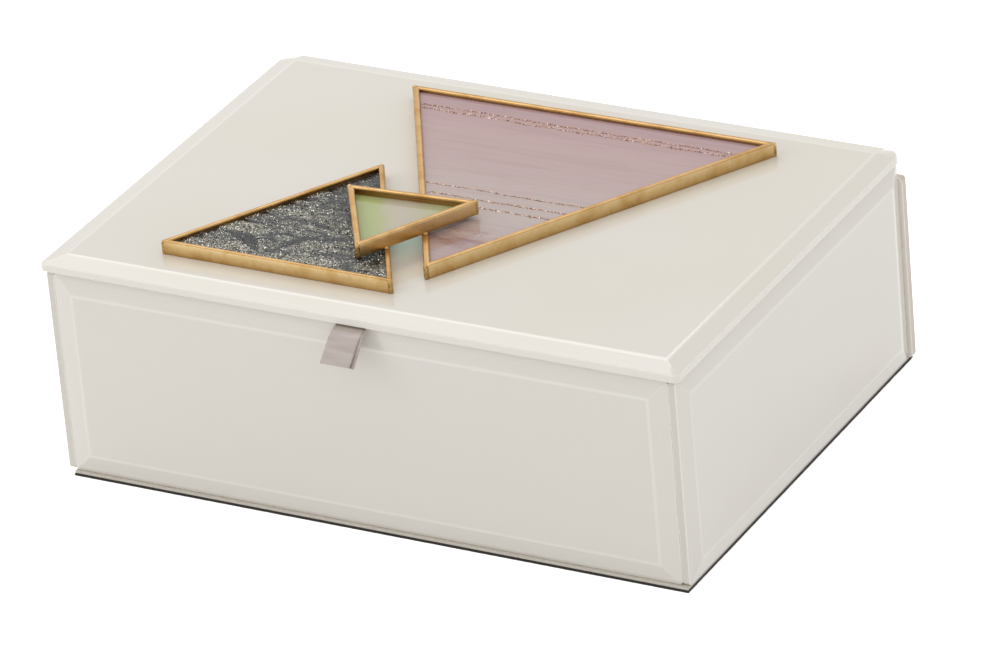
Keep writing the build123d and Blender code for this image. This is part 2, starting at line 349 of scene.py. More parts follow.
def arris_painted_highlight():
    """The narrow rounded line where two cuts meet: coloured whiter than the paint, a painted highlight for the light
    it gathers.
    """
    made, nodes, shader = start_material("glass_arris_painted_highlight", Roughness=0.18, IOR=1.5)
    chatter = grain(nodes, place_mm(nodes), 3.0, detail=2.0)
    feed(nodes, shader, "Base Color", tones(nodes, chatter, [(0.3, "#E9E5DB"), (0.7, "#EFECE4")]))
    feed(nodes, shader, "Roughness", between(nodes, chatter, 0.12, 0.26))
    return made


def seamed_edge(name, deep, pale):
    """The seamed edge of a sheet: finely ground, so it shows the glass's own tone."""
    made, nodes, shader = start_material(name, Roughness=0.3, IOR=1.5)
    grind = grain(nodes, place_mm(nodes), 0.6, detail=3.0)
    feed(nodes, shader, "Base Color", tones(nodes, grind, [(0.3, deep), (0.7, pale)]))
    feed(nodes, shader, "Roughness", between(nodes, grind, 0.25, 0.45))
    feed(nodes, shader, "Normal", bumps(nodes, grind, 0.01))
    return made


def came_brass():
    """Drawn brass channel, satin, tinned and wiped by hand: golden, mottled olive and copper."""
    made, nodes, shader = start_material("satin_drawn_brass", Metallic=1.0, Roughness=0.34)
    broad = grain(nodes, place_mm(nodes), 9, detail=3.0, roughness=0.6)
    gold = tones(nodes, broad, [(0.28, "#D9BE8A"), (0.45, "#DDC394"), (0.62, "#D0B07A"), (0.78, "#C4A36C")])
    fine = grain(nodes, place_mm(nodes), 1.6, detail=4.0, roughness=0.65)
    stain = tones(nodes, fine, [(0.22, "#A88550"), (0.36, "#FFFFFF")])
    colour = blend_colours(nodes, 0.6, gold, stain, "MULTIPLY")
    drawn, parts = cut_place(nodes)
    # Painted shade and highlight across the section, from the foot of the outer face over the top to the lip: darker
    # at its foot, brightest high on the outer face, darker again over the rounded top and inside the lip.
    over = maths(nodes, "DIVIDE", parts["Y"], CAME_HEIGHT + CAME_FLANGE["mauve"])
    painted_section_light = tones(
        nodes, over,
        [(0.0, "#CCB38B"), (0.10, "#ECDEC4"), (0.30, "#F6EEDF"), (0.46, "#FFFCF4"), (0.62, "#FFFFFF"),
         (0.69, "#CEBFAA"), (0.80, "#C8B7A1"), (0.90, "#DCCBB4"), (0.97, "#C8B59C"), (1.0, "#BCA78C")],
    )
    feed(nodes, shader, "Base Color", blend_colours(nodes, 1.0, colour, painted_section_light, "MULTIPLY"))
    relief = bumps(nodes, drawn_noise(nodes, drawn, (60, 4200, 1), 2.0), 0.012)
    feed(nodes, shader, "Normal", bumps(nodes, fine, 0.03, relief))
    feed(nodes, shader, "Roughness", between(nodes, broad, 0.26, 0.44))
    return made


def solder_bead():
    """Lead-free solder, patinated to match the brass: duller, darker in its creases, bright where it is rubbed."""
    made, nodes, shader = start_material("patinated_solder", Metallic=1.0, Roughness=0.38)
    lumps = grain(nodes, place_mm(nodes), 1.1, detail=3.0, roughness=0.6)
    feed(nodes, shader, "Base Color", tones(nodes, lumps, [(0.3, "#8E7345"), (0.5, "#B8955A"), (0.7, "#D8B983")]))
    feed(nodes, shader, "Normal", bumps(nodes, lumps, 0.08))
    feed(nodes, shader, "Roughness", between(nodes, lumps, 0.28, 0.5))
    return made


def glitter_stone():
    """Crushed mirror glass set in grey resin: dark, densely speckled, glassy on top."""
    made, nodes, shader = start_material("crushed_glass_in_resin", Roughness=0.3, IOR=1.5)
    base = tones(
        nodes, attribute(nodes, "tone"),
        [(0.0, "#1E1F21"), (0.22, "#303234"), (0.42, "#505250"), (0.58, "#73736C"), (0.78, "#98948A"),
         (1.0, "#B2AC9E")],
    )
    cells = add(nodes, "ShaderNodeTexVoronoi", {"Vector": place_mm(nodes), "Scale": 1 / 0.62})
    speck = add(nodes, "ShaderNodeSeparateColor", {"Color": cells.outputs["Color"]})
    flash = tones(
        nodes, speck.outputs[0], [(0.0, "#4A4D4C"), (0.45, "#7D7E79"), (0.72, "#A5A299"), (0.93, "#F6F0E2")]
    )
    feed(nodes, shader, "Base Color", blend_colours(nodes, 0.55, base, flash, "OVERLAY"))
    feed(nodes, shader, "Metallic", between(nodes, speck.outputs[1], 0.0, 0.7))
    feed(nodes, shader, "Roughness", between(nodes, speck.outputs[2], 0.12, 0.5))
    feed(nodes, shader, "Normal", bumps(nodes, speck.outputs[1], 0.25))
    return made


def glitter(name, metallic, roughness, stops):
    """Loose glitter: each chip takes its own colour, from dull to bright."""
    made, nodes, shader = start_material(name, Metallic=metallic, Roughness=roughness)
    feed(nodes, shader, "Base Color", tones(nodes, attribute(nodes, "tone"), stops))
    return made


def mauve_glass():
    """Lilac art glass: flat and glossy, with drawn-out streaks and a darker cloud near its point."""
    made, nodes, shader = start_material("lilac_streaked_art_glass", Roughness=0.08, IOR=1.52)
    body = tones(
        nodes, attribute(nodes, "tone"),
        [(0.0, "#AA8E8B"), (0.12, "#AE9794"), (0.26, "#B5A4A0"), (0.36, "#B8A9A4"), (0.52, "#B8A5A1"),
         (0.66, "#B59C9A"), (0.80, "#B69B99"), (0.9, "#AF9192"), (1.0, "#AB8E91")],
    )
    streak = grain(nodes, place_mm(nodes, (14, 1, 1)), 2.2, detail=3.0, roughness=0.55)
    drift = tones(nodes, streak, [(0.3, "#F0E6E7"), (0.55, "#FFFFFF"), (0.75, "#F8F0EF")])
    body = blend_colours(nodes, 0.5, body, drift, "MULTIPLY")
    wisp = grain(nodes, place_mm(nodes, (3, 1, 1)), 2.6, detail=4.0, roughness=0.6)
    dark = maths(nodes, "MULTIPLY", attribute(nodes, "cloud"), between(nodes, wisp, -0.6, 2.0))
    body = blend_colours(nodes, clamped_sum(nodes, dark, 0.0), body, linear("#8A6664"))
    feed(nodes, shader, "Base Color", body)
    feed(nodes, shader, "Normal", bumps(nodes, grain(nodes, place_mm(nodes, (3, 1, 1)), 12, 1.0), 0.04))
    return made


def green_glass():
    """Thin green art glass over the pale lid: leaf green, then a rosy veil, then grey-green."""
    made, nodes, shader = start_material("green_veiled_art_glass", Roughness=0.07, IOR=1.52)
    ripple = grain(nodes, place_mm(nodes, (1, 2.2, 1)), 7, detail=2.0)
    along = maths(nodes, "ADD", attribute(nodes, "tone"), between(nodes, ripple, -0.06, 0.06))
    body = tones(
        nodes, along,
        [(0.0, "#9AA866"), (0.12, "#A7B174"), (0.24, "#ABB27C"), (0.30, "#B7B198"), (0.38, "#BAB09F"),
         (0.52, "#B6B097"), (0.62, "#AFB086"), (0.76, "#ABAF7A"), (1.0, "#96995F")],
    )
    feed(nodes, shader, "Base Color", body)
    feed(nodes, shader, "Normal", bumps(nodes, ripple, 0.05))
    # The sheet is thin and clear enough to let lamp light through, which falls blue-green on the lid.
    rays = add(nodes, "ShaderNodeLightPath")
    clear = add(nodes, "ShaderNodeBsdfTransparent", {"Color": linear("#E8F7F6")})
    lamps = add(nodes, "ShaderNodeMixShader", {
        0: rays.outputs["Is Shadow Ray"], 1: shader.outputs[0], 2: clear.outputs[0]})
    lets = add(nodes, "ShaderNodeMixShader", {
        0: rays.outputs["Is Diffuse Ray"], 1: lamps.outputs[0], 2: clear.outputs[0]})
    show(nodes, lets.outputs[0])
    return made


def velvet(name, dark, light):
    """Cut-pile velvet: soft and matt, paler where the pile leans to the eye, with hand-brushed clouds."""
    made, nodes, shader = start_material(name, Roughness=0.92, IOR=1.4)
    shader.inputs["Sheen Weight"].default_value = 0.55
    shader.inputs["Sheen Roughness"].default_value = 0.4
    shader.inputs["Sheen Tint"].default_value = linear(light)
    brushed = grain(nodes, place_mm(nodes, (1, 1.6, 1)), 16, detail=2.5, roughness=0.55)
    colour = tones(nodes, brushed, [(0.25, dark), (0.5, light), (0.78, dark)])
    # Real pile is about 0.1 mm; it is drawn several times coarser so that it shows.
    tuft = grain(nodes, place_mm(nodes), 0.5, detail=3.0, roughness=0.7)
    speck = tones(nodes, tuft, [(0.25, "#C8C8C8"), (0.6, "#FFFFFF")])
    feed(nodes, shader, "Base Color", blend_colours(nodes, 0.7, colour, speck, "MULTIPLY"))
    feed(nodes, shader, "Normal", bumps(nodes, tuft, 0.18))
    return made


def base_felt():
    """Dense black wool felt: matted fibres and a little lint."""
    made, nodes, shader = start_material("black_wool_felt", Roughness=0.95, IOR=1.4)
    shader.inputs["Sheen Weight"].default_value = 0.25
    fibre = grain(nodes, place_mm(nodes, (1, 3, 1)), 0.7, detail=5.0, roughness=0.75)
    feed(nodes, shader, "Base Color", tones(nodes, fibre, [(0.3, "#1C1712"), (0.55, "#2C251F"), (0.85, "#4A4038")]))
    feed(nodes, shader, "Normal", bumps(nodes, fibre, 0.2))
    return made


def grey_card():
    """The grey card that the felt is glued to: matt, slightly fibrous."""
    made, nodes, shader = start_material("grey_pasteboard", Roughness=0.85, IOR=1.45)
    fibre = grain(nodes, place_mm(nodes, (2, 2, 1)), 0.9, detail=4.0, roughness=0.7)
    feed(nodes, shader, "Base Color", tones(nodes, fibre, [(0.3, "#C4BDB3"), (0.7, "#D2CBC1")]))
    feed(nodes, shader, "Normal", bumps(nodes, fibre, 0.05))
    return made


def lacquered_board():
    """Sprayed satin lacquer over fibreboard: off-white, with a faint orange peel."""
    made, nodes, shader = start_material("satin_lacquered_mdf", Roughness=0.4, IOR=1.5)
    broad = grain(nodes, place_mm(nodes), 40, detail=1.5)
    feed(nodes, shader, "Base Color", tones(nodes, broad, [(0.3, "#DAD5CA"), (0.7, "#E1DDD3")]))
    peel = grain(nodes, place_mm(nodes), 1.4, detail=1.0)
    feed(nodes, shader, "Normal", bumps(nodes, peel, 0.015))
    feed(nodes, shader, "Roughness", between(nodes, broad, 0.34, 0.46))
    return made


def hinge_brass(name, pale, deep):
    """Brass-plated steel, polished: fine wiping marks and slightly deeper tone in hollows."""
    made, nodes, shader = start_material(name, Metallic=1.0, Roughness=0.22)
    wipe = grain(nodes, place_mm(nodes, (6, 1, 1)), 0.5, detail=3.0, roughness=0.6)
    feed(nodes, shader, "Base Color", tones(nodes, wipe, [(0.3, deep), (0.6, pale)]))
    feed(nodes, shader, "Roughness", between(nodes, wipe, 0.16, 0.32))
    feed(nodes, shader, "Normal", bumps(nodes, wipe, 0.01))
    return made


def satin_ribbon():
    """Double-faced satin ribbon, taupe: fine ribs across it and a soft sheen along the thread."""
    made, nodes, shader = start_material("taupe_satin_ribbon", Roughness=0.45, IOR=1.45)
    shader.inputs["Sheen Weight"].default_value = 0.35
    shader.inputs["Anisotropic"].default_value = 0.5
    weave, parts = cut_place(nodes)
    # Rib pitch 0.5 mm, about twice the thread's own, so that it shows.
    wave = maths(nodes, "SINE", maths(nodes, "MULTIPLY", parts["X"], 2 * math.pi / (0.5 * MM)))
    rib = maths(nodes, "ADD", maths(nodes, "MULTIPLY", wave, 0.5), 0.5)
    wander = drawn_noise(nodes, weave, (420, 60, 1), 1.0)
    tone = maths(nodes, "ADD", maths(nodes, "MULTIPLY", wave, 0.04), wander)
    satin = tones(nodes, tone, [(0.25, "#AFA39C"), (0.5, "#B9AEA7"), (0.75, "#C3B9B2")])
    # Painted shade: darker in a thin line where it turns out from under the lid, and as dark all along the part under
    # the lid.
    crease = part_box("ribbon_pull")[1].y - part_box("lid_glass")[0].y
    past = maths(nodes, "DIVIDE", maths(nodes, "SUBTRACT", parts["X"], crease), 4 * MM)
    painted_lid_shade = tones(nodes, past, [(0.0, "#94877E"), (0.14, "#A2958C"), (0.24, "#DCD4CE"), (0.7, "#FFFFFF")])
    feed(nodes, shader, "Base Color", blend_colours(nodes, 1.0, satin, painted_lid_shade, "MULTIPLY"))
    feed(nodes, shader, "Normal", bumps(nodes, rib, 0.012))
    return made


paint = painted_glass("back_painted_float_glass", "#DDD8CF", "#DDD9D1", (1, 3, 1))
lid_paint = painted_glass("back_painted_lid_glass", "#DAD5C9", "#DBD6CE", (3, 1, 1))
arris_highlight = arris_painted_highlight()
wall_edge = seamed_edge("seamed_wall_glass_edge", "#D0CBC2", "#D6D1C8")
back_edge = seamed_edge("seamed_back_glass_edge", "#C4B8AD", "#CCC1B6")
sheet_back = seamed_edge("painted_back_of_glass", "#E6DFD6", "#EBE5DC")
lid_edge = seamed_edge("seamed_lid_glass_edge", "#E2DED5", "#E8E4DC")
brass = came_brass()
solder = solder_bead()
stone = glitter_stone()
stone_chips = glitter(
    "mirror_glass_chips", 0.6, 0.22,
    [(0.0, "#565957"), (0.4, "#8C8D87"), (0.62, "#BBB8AE"), (0.8, "#ECE8DE"), (0.95, "#FFFFFA"), (1.0, "#C6CFCD")],
)
copper_flakes = glitter(
    "copper_glitter_flakes", 0.9, 0.25, [(0.0, "#8A6352"), (0.45, "#BC9780"), (0.8, "#E3C3A8"), (1.0, "#FFF4E8")]
)
lilac = mauve_glass()
green = green_glass()
grey_velvet = velvet("pearl_grey_velvet", "#A59B94", "#BDB4AD")
roll_velvet = velvet("pearl_grey_roll_velvet", "#ACA29B", "#C4BBB4")
felt = base_felt()
card = grey_card()
lacquer = lacquered_board()
plate_brass = hinge_brass("polished_brass_plate", "#E3D4A8", "#D9C797")
pin_brass = hinge_brass("turned_brass_pin", "#DBC490", "#CBB07A")
ribbon_satin = satin_ribbon()


# ---------------------------------------------------------------- bevelled glass

def rounded_ring(width, height, corners, inset):
    """Points round a rectangle drawn in by inset, each (x, y, run, at corner); no corner is sharper than an arris."""
    half_x, half_y = width / 2 - inset, height / 2 - inset
    ring = []
    run = 0.0
    spots = (
        (1, -1, corners[1], -90), (1, 1, corners[2], 0), (-1, 1, corners[3], 90), (-1, -1, corners[0], 180),
    )
    for way_x, way_y, corner, turn in spots:
        radius = max(corner - inset, ARRIS)
        for step in range(ROUND_STEPS + 1):
            angle = math.radians(turn + 90 * step / ROUND_STEPS)
            x = way_x * (half_x - radius) + radius * math.cos(angle)
            y = way_y * (half_y - radius) + radius * math.sin(angle)
            if ring:
                run += math.dist((x, y), ring[-1][:2])
            ring.append((x, y, run, step < ROUND_STEPS))
    return ring


def cut_glass(node, body, origin, right, up, width, height, thickness, corners, face, edge, facet_painted_light):
    """One bevelled sheet in place of its CAD node: origin is the middle of its back, corners are its roundings."""
    right, up = Vector(right), Vector(up)
    out = right.cross(up)
    brink = thickness - BEVEL_DROP
    slope = BEVEL_DROP / BEVEL
    on_face, on_bevel, on_edge, on_arris, on_back = range(5)
    # The arris finish is a painted highlight, coloured whiter than the paint.
    finishes = [face, face, edge, arris_highlight, sheet_back]
    # Each step of the cut: how far in, how high, and the finish of the band that leads to it.
    steps = [
        (ARRIS, 0.0, None),
        (0.3 * ARRIS, 0.3 * ARRIS, on_arris),
        (0.0, ARRIS, on_arris),
        (0.0, brink - ARRIS, on_edge),
        (0.3 * ARRIS, brink - 0.3 * ARRIS + 0.5 * ARRIS * slope, on_arris),
        (ARRIS, brink + ARRIS * slope, on_arris),
        (BEVEL - 2 * ARRIS, thickness - 2 * ARRIS * slope, on_bevel),
        (BEVEL, thickness - 0.6 * ARRIS * slope, on_face),
        (BEVEL + 2 * ARRIS, thickness, on_face),
        (BEVEL + 5 * ARRIS, thickness, on_face),
    ]
    points, runs, faces, shades = [], [], [], []
    for inset, rise, _ in steps:
        for x, y, run, _ in rounded_ring(width, height, corners, inset):
            points.append(origin + right * x + up * y + out * rise)
            runs.append((run, inset))
    count = len(points) // len(steps)
    ring = rounded_ring(width, height, corners, 0)
    for level in range(1, len(steps)):
        finish = steps[level][2]
        round_over = level >= len(steps) - 3 or finish == on_arris
        quads = band((level - 1) * count, level * count, count)
        for spot, (corner, _, _) in enumerate(quads):
            at_corner = ring[spot][3]
            faces.append((corner, on_face if finish == on_bevel else finish, at_corner or round_over))
            side = facet_painted_light[(spot // (ROUND_STEPS + 1) + 3) % 4 - 3]
            # Painted light and shade: a bevel facet's colour is scaled by its side, and lighter still at a mitre.
            if finish == on_bevel:
                shades.append(MITRE_PAINTED_HIGHLIGHT if at_corner else side)
            else:
                shades.append(1.0)
    faces.append((tuple(reversed(range(count))), on_back, False))
    last = (len(steps) - 1) * count
    faces.append((tuple(last + spot for spot in range(count)), on_face, False))
    shades += [1.0, 1.0]
    mesh = mesh_from(node + "_cut", points, faces)
    lay_flat(mesh, runs)
    mark(mesh, "facet", shades, "FACE")
    tidy(mesh)
    return piece(node + "_sheet", mesh, body, finishes, (node,))


def upright_sheet(node, normal, edge):
    """A wall sheet, placed and sized from its CAD box."""
    low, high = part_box(node)
    size, middle = high - low, (low + high) / 2
    normal = Vector(normal)
    thick_axis = 0 if abs(normal.x) > 0.5 else 1
    thickness = size[thick_axis]
    width = size[1 - thick_axis]
    origin = middle - normal * thickness / 2
    right = Vector((0, 0, 1)).cross(normal)
    corners = (PANEL_CORNER,) * 4
    cut_glass(node, "box", origin, right, (0, 0, 1), width, size.z, thickness, corners, paint, edge, WALL_PAINTED_LIGHT)


def make_glass():
    """The four walls' sheets and the lid's."""
    upright_sheet("front_glass", (0, -1, 0), wall_edge)
    upright_sheet("back_glass", (0, 1, 0), back_edge)
    upright_sheet("left_glass", (-1, 0, 0), wall_edge)
    upright_sheet("right_glass", (1, 0, 0), wall_edge)
    low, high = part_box("lid_glass")
    middle = (low + high) / 2
    corners = (LID_FRONT_CORNER, LID_FRONT_CORNER, LID_BACK_CORNER, LID_BACK_CORNER)
    cut_glass(
        "lid_glass", "lid", Vector((middle.x, middle.y, low.z)), (1, 0, 0), (0, 1, 0),
        high.x - low.x, high.y - low.y, high.z - low.z, corners, lid_paint, lid_edge, LID_PAINTED_LIGHT,
    )


# ---------------------------------------------------------------- triangles

def heart_of(corners):
    """Centre and radius of the circle that touches a triangle's sides."""
    a, b, c = corners
    opposite = ((c - b).length, (a - c).length, (b - a).length)
    around = sum(opposite)
    heart = (a * opposite[0] + b * opposite[1] + c * opposite[2]) / around
    return heart, (b - a).cross(c - a) / around


def drawn_in(corners, depth):
    """The triangle whose sides lie inside the given one's by depth."""
    heart, radius = heart_of(corners)
    return [heart + (corner - heart) * (1 - depth / radius) for corner in corners]


def half_angle(corners, number):
    """Half the angle at one corner."""
    heart, radius = heart_of(corners)
    return math.asin(radius / (heart - corners[number]).length)


def came_profile(inner):
    """The channel's section, inner wide: points (in from the outer face, up from the sole), going round it once."""
    soft = 0.55 * MM
    crown = 0.08 * MM
    top = CAME_HEIGHT
    lip = CAME_HEIGHT - CAME_LIP
    profile = [(0.25 * MM, 0.0), (0.06 * MM, 0.06 * MM), (0.0, 0.25 * MM)]
    profile += [(0.0, top * share) for share in (0.3, 0.6)]
    for step in range(6):
        angle = math.radians(90 * step / 5)
        profile.append((soft - soft * math.cos(angle), top - soft + soft * math.sin(angle)))
    profile += [(0.5 * inner, top + crown)]
    for step in range(6):
        angle = math.radians(90 - 90 * step / 5)
        profile.append((inner - soft + soft * math.cos(angle), top - soft + soft * math.sin(angle)))
    profile += [
        (inner - 0.02 * MM, lip + 0.1 * MM), (inner - 0.25 * MM, lip - 0.15 * MM),
        (inner - 0.1 * MM, CAME_SOLE),
        (inner, CAME_SOLE - 0.1 * MM), (inner, 0.1 * MM), (inner - 0.1 * MM, 0.0),
    ]
    return profile


def came_strip(name, base, corners, number, where, wobble):
    """One length of channel, mitred at both ends, with the slight waver of hand-bent strip."""
    end = (number + 1) % 3
    first, last = corners[number], corners[end]
    along = (last - first).normalized()
    inward = Vector((-along.y, along.x))
    length = (last - first).length
    half = (half_angle(corners, number), half_angle(corners, end))

    def reach(depth, angle):
        """How far short of the sharp corner the strip ends, at a depth in from its outer face."""
        cut = (CAME_TIP - depth * math.sin(angle)) / math.cos(angle)
        return max(depth / math.tan(angle), cut) + CAME_SEAM

    flange = CAME_FLANGE[name]
    profile = came_profile(flange)
    stations = max(4, round(length / CAME_STATION))
    points, runs, faces = [], [], []
    drawn = [0.0]
    for before, after in zip(profile, profile[1:]):
        drawn.append(drawn[-1] + math.dist(before, after))
    for station in range(stations + 1):
        share = station / stations
        for spot, (depth, rise) in enumerate(profile):
            start, stop = reach(depth, half[0]), length - reach(depth, half[1])
            travel = start + (stop - start) * share
            middle = first + along * travel + inward * depth
            place = Vector((middle.x * 110, middle.y * 110, wobble + rise * 90))
            soften = min(1.0, 6 * share * (1 - share))
            dent = noise.noise(place) * 0.055 * MM * soften
            lift = noise.noise(place + Vector((7, 3, 1))) * 0.045 * MM * soften
            outer = depth < 0.2 * MM or depth > flange - 0.2 * MM
            middle = middle + inward * (dent if outer else 0)
            top = lift if rise > CAME_HEIGHT - 0.3 * MM else 0
            points.append((middle.x, middle.y, base + rise + top))
            runs.append((travel, drawn[spot]))
    count = len(profile)
    for station in range(stations):
        faces += band(station * count, (station + 1) * count, count, outwards=False)
    faces.append((tuple(range(count)), 0, False))
    faces.append((tuple(stations * count + spot for spot in reversed(range(count))), 0, False))
    node = f"{name}_came_{where}"
    mesh = mesh_from(f"{node}_strip", points, faces)
    lay_flat(mesh, runs)
    tidy(mesh, 0.0005 * MM)
    keep_creases(piece(f"{node}_channel", mesh, "lid", [brass], (node,)), 35)


def keep_creases(made, degrees):
    """Smooth shading, except over edges sharper than this."""
    mesh = made.data
    work = bmesh.new()
    work.from_mesh(mesh)
    for edge in work.edges:
        sharp = len(edge.link_faces) == 2 and edge.calc_face_angle(0) > math.radians(degrees)
        edge.smooth = not sharp
    for each in work.faces:
        each.smooth = True
    work.to_mesh(mesh)
    work.free()


def lump(points, faces, centre, size, seed):
    """Adds an uneven bead: a ball divided into rings and pushed about a little."""
    first = len(points)
    rows, around = 7, 12
    for row in range(rows + 1):
        tilt = math.pi * row / rows
        for turn in range(around):
            angle = 2 * math.pi * turn / around
            way = Vector((math.sin(tilt) * math.cos(angle), math.sin(tilt) * math.sin(angle), math.cos(tilt)))
            swell = 1 + 0.16 * noise.noise(way * 1.7 + Vector((seed, seed * 0.37, 0)))
            points.append(centre + Vector([way[k] * size[k] * swell for k in range(3)]))
    for row in range(rows):
        faces += band(first + row * around, first + (row + 1) * around, around, outwards=False)


def solder_column(points, faces, corner, heart, radius, base, seed):
    """Adds the standing bead that closes one tip, rounded over at the top."""
    first = len(points)
    toward = (heart - corner).normalized()
    centre = corner + toward * (CAME_TIP - 0.1 * MM)
    # Up its height: the share of the channel's height, and of the bead's radius
    levels = [
        (0.0, 0.9), (0.06, 1.0), (0.3, 1.03), (0.55, 0.98), (0.8, 1.02), (0.93, 0.94), (0.985, 0.72), (1.01, 0.35),
    ]
    around = 18
    for rise, share in levels:
        for turn in range(around):
            angle = 2 * math.pi * turn / around
            way = Vector((math.cos(angle), math.sin(angle)))
            lumpy = noise.noise(Vector((way.x * 1.3, way.y * 1.3, rise * 5 + seed)))
            place = centre + way * (radius * share * (1 + 0.10 * lumpy))
            points.append((place.x, place.y, base + rise * CAME_HEIGHT))
    for level in range(len(levels) - 1):
        faces += band(first + level * around, first + (level + 1) * around, around)
    faces.append((tuple(first + turn for turn in reversed(range(around))), 0, True))
    top = first + (len(levels) - 1) * around
    faces.append((tuple(top + turn for turn in range(around)), 0, True))


def crossing(a, b, c, d):
    """Where the line a-b meets the line c-d in plan."""
    one, two = b - a, d - c
    share = (c - a).cross(two) / one.cross(two)
    return a + one * share


def triangle_grid(corners, rows):
    """Points and faces of a triangle divided evenly."""
    points, faces, index = [], [], {}
    for row in range(rows + 1):
        for column in range(rows + 1 - row):
            u, v = row / rows, column / rows
            index[row, column] = len(points)
            points.append(corners[0] + (corners[1] - corners[0]) * u + (corners[2] - corners[0]) * v)
    for row in range(rows):
        for column in range(rows - row):
            faces.append((index[row, column], index[row + 1, column], index[row, column + 1]))
            if column < rows - row - 1:
                faces.append((index[row + 1, column], index[row + 1, column + 1], index[row, column + 1]))
    return points, faces


def infill_top(name):
    """The height of the sheet held in a triangle."""
    return TRIANGLES[name][0] + CAME_HEIGHT - CAME_LIP - SUNK[name]


def infill_plate(name, corners, rows, relief, fields, material):
    """The sheet held in a triangle: a finely divided top with its relief, straight edges and a flat back."""
    held = drawn_in(corners, CAME_FLANGE[name] - 0.3 * MM)
    flat, faces = triangle_grid(held, rows)
    top = infill_top(name)
    low = TRIANGLES[name][0] + CAME_SOLE
    points = [(spot.x, spot.y, top + relief(spot)) for spot in flat]
    count = len(points)
    points += [(spot.x, spot.y, low) for spot in flat]
    solid = [(face, 0, True) for face in faces]
    solid += [(tuple(count + corner for corner in reversed(face)), 0, False) for face in faces]
    sides = {side: True for face in faces for side in zip(face, face[1:] + face[:1])}
    solid += [((b, a, a + count, b + count), 0, False) for a, b in sides if (b, a) not in sides]
    mesh = mesh_from(name + "_plate", points, solid)
    for field, value in fields.items():
        mark(mesh, field, [value(spot) for spot in flat] * 2)
    node = f"{name}_infill"
    keep_creases(piece(f"{node}_plate", mesh, "lid", [material], (node,)), 40)


def stone_tone(spot):
    """How pale the crushed glass is at a place: drifts along X, with dark angular shards in it."""
    x, y = spot.x * 1000, spot.y * 1000
    drift = noise.noise(Vector((x / 19, y / 5.5, 3.1))) * 0.30 + noise.noise(Vector((x / 6, y / 2.4, 8.4))) * 0.20
    crags = abs(noise.noise(Vector((x / 9, y / 2.6, 5.5))))
    tone = 0.60 + 1.15 * drift - 0.006 * (y + 45) - 0.55 * max(0.0, 0.14 - crags) / 0.14
    for middle, reach, lean, depth in STONE_SHARDS:
        dx, dy = x - middle[0], y - middle[1]
        across = dx * math.cos(lean) + dy * math.sin(lean)
        along = -dx * math.sin(lean) + dy * math.cos(lean)
        ragged = 0.16 * noise.noise(Vector((x / 2.2, y / 1.5, 1.0)))
        inside = 1 - max(abs(across) / reach[0] + 0.5 * along / reach[1], abs(along) / reach[1]) + ragged
        if inside > 0:
            tone -= depth * min(1.0, inside * 10)
    return min(1.0, max(0.0, tone))


def sprinkle(name, spots, sizes, flatness, material, seed):
    """Many small faceted chips at the given places."""
    rng = random.Random(seed)
    points, faces, tone = [], [], []
    shape = [(1, 0, 0), (-0.6, 0.8, 0), (-0.5, -0.9, 0), (0.1, 0.05, 0.8), (0.0, -0.1, -0.5)]
    sides = [(0, 1, 3), (1, 2, 3), (2, 0, 3), (1, 0, 4), (2, 1, 4), (0, 2, 4)]
    for spot in spots:
        size = rng.uniform(*sizes) / 2
        lean = 1.0 - flatness
        turn = Euler((rng.uniform(-1.2, 1.2) * lean, rng.uniform(-1.2, 1.2) * lean, rng.uniform(0, 6.28)))
        first = len(points)
        shade = rng.random()
        for corner in shape:
            way = Vector(corner) * rng.uniform(0.75, 1.2)
            way.rotate(turn)
            points.append(Vector(spot) + way * size)
            tone.append(shade)
        faces += [(tuple(first + corner for corner in side), 0, False) for side in sides]
    mesh = mesh_from(name, points, faces)
    mark(mesh, "tone", tone)
    piece(name, mesh, "lid", [material])


def scatter_in(corners, count, seed, likes):
    """Random places in a triangle, kept as often as likes says."""
    rng = random.Random(seed)
    found = []
    while len(found) < count:
        u, v = rng.random(), rng.random()
        if u + v > 1:
            u, v = 1 - u, 1 - v
        spot = corners[0] + (corners[1] - corners[0]) * u + (corners[2] - corners[0]) * v
        if rng.random() < likes(spot):
            found.append(spot)
    return found


def add_solder(name, points, faces, nodes=()):
    """Puts finished solder on the lid."""
    piece(name, mesh_from(name, points, faces), "lid", [solder], nodes)


def make_frames():
    """The nine lengths of channel and the solder that closes their tips; gives each triangle's corners."""
    frames = {}
    for name, (base, outline, strips) in TRIANGLES.items():
        corners = [Vector(point) * MM for point in outline]
        frames[name] = corners
        for number, where in enumerate(strips):
            came_strip(name, base, corners, number, where, wobble=10 * number + len(name))
        heart, _ = heart_of(corners)
        points, faces = [], []
        for number in range(3):
            radius = CAME_TIP * math.tan(half_angle(corners, number)) * 0.98
            solder_column(points, faces, corners[number], heart, radius, base, seed=number * 3.7 + len(name))
        add_solder(f"{name}_solder_tips", points, faces, (f"{name}_solder",))
    return frames


def make_crossings(frames):
    """The beads that join the raised triangle to the two below it, where its front and back sides cross theirs."""
    points, faces = [], []
    level = lid_top + CAME_HEIGHT + 0.1 * MM
    above = drawn_in(frames["green"], 0.15 * MM)
    for seed, name in enumerate(("stone", "mauve")):
        below = drawn_in(frames[name], CAME_WIDTH / 2)
        front = crossing(above[2], above[0], below[1], below[2])
        lump(points, faces, Vector((front.x, front.y, level)), (1.1 * MM, 1.0 * MM, 0.75 * MM), seed * 5.1 + 1)
        back = crossing(above[0], above[1], below[1], below[2])
        lump(points, faces, Vector((back.x, back.y, level)), (0.9 * MM, 0.8 * MM, 0.6 * MM), seed * 4.3 + 2)
    add_solder("crossing_solder_beads", points, faces)


def stone_relief(spot):
    """The resin's surface: hollow where it is dark, pebbled where the crushed glass lies thick."""
    rough = noise.noise(Vector((spot.x * 900, spot.y * 900, 2))) * 0.10
    return (rough - 0.25 + 0.30 * (stone_tone(spot) - 0.5)) * MM


